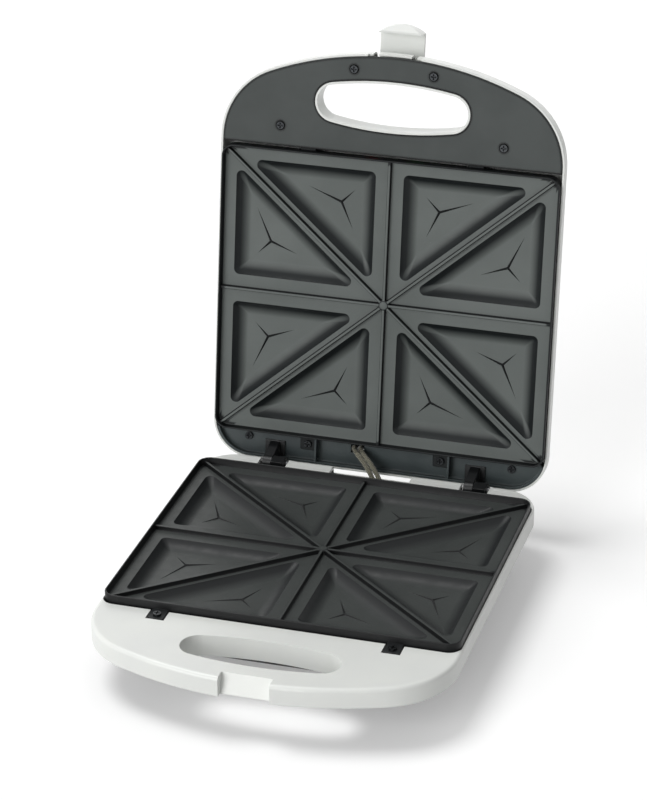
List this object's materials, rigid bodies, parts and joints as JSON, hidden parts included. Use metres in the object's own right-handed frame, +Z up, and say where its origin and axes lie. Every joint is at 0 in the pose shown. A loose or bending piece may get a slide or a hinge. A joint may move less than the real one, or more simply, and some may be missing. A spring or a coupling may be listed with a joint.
{
  "type": "sandwich toaster",
  "caption": "Countertop sandwich toaster with a hinged lid, non-stick plates with triangular pockets, loop handles and a swinging front latch.",
  "frame": {"origin": "bottom centre of the box round the open toaster, on the table under it", "axes": "+Z up, -Y towards the user and the handles, +X to the user's right; rest pose has the lid standing open"},
  "size_m": [0.2532, 0.3892, 0.3632],
  "materials": {
    "white_plastic": "satin moulded white plastic",
    "black_plastic": "matte black moulded plastic",
    "grey_plastic": "matte dark grey moulded plastic",
    "slate_plastic": "dark blue-grey moulded plastic",
    "non_stick_plate": "cast aluminium with dark non-stick coating",
    "foot_rubber": "soft black rubber",
    "screw_steel": "zinc plated steel",
    "black_screw": "blackened steel",
    "pin_steel": "plain steel pin",
    "heater_sheath": "heat-tinted steel tube",
    "bright_sheet": "plain rolled sheet",
    "terminal_plastic": "cream heat-proof moulding",
    "red_lens": "clear red lens",
    "green_lens": "clear green lens",
    "lamp_glass": "small neon lamp",
    "lead_sleeve": "braided glass-fibre sleeve"
  },
  "bodies": {
    "base": {"base_frame": "white_plastic", "base_pan": "black_plastic", "rubber_feet": "foot_rubber", "pan_screws": "screw_steel", "lower_plate": "non_stick_plate", "lower_plate_screws": "black_screw", "lower_heater": "heater_sheath", "lower_heater_clips": "bright_sheet", "lower_reflector": "bright_sheet", "hinge_lug_left": "black_plastic", "hinge_lug_right": "black_plastic", "lug_screws": "screw_steel", "hinge_pin_left": "pin_steel", "hinge_pin_right": "pin_steel", "cord_inlet": "foot_rubber", "cord_clamp": "black_plastic", "terminal_block": "terminal_plastic", "lower_thermostat": "terminal_plastic", "heater_lead_left": "lead_sleeve", "heater_lead_right": "lead_sleeve"},
    "lid": {"lid_shell": "white_plastic", "lid_handle_cover": "grey_plastic", "lid_cover_screws": "black_screw", "lid_rear_frame": "slate_plastic", "hinge_arm_left": "black_plastic", "hinge_arm_right": "black_plastic", "rear_frame_screws": "black_screw", "upper_plate": "non_stick_plate", "upper_plate_screws": "screw_steel", "upper_heater": "heater_sheath", "upper_heater_clips": "bright_sheet", "upper_reflector": "bright_sheet", "power_lamp_lens": "red_lens", "ready_lamp_lens": "green_lens", "indicator_lamps": "lamp_glass", "latch_pin": "pin_steel"},
    "latch": {"latch": "white_plastic"}
  },
  "joints": [
    {"name": "lid_hinge", "type": "hinge", "parent": "base", "child": "lid", "pos_m": [0, 0.11522, 0.0415], "axis": [1, 0, 0], "range_deg": [0, 97.6], "deforming": ["heater_lead_left", "heater_lead_right"]},
    {"name": "latch_pivot", "type": "hinge", "parent": "lid", "child": "latch", "pos_m": [0, 0.17165, 0.33127], "axis": [1, 0, 0], "range_deg": [0, 90]}
  ]
}
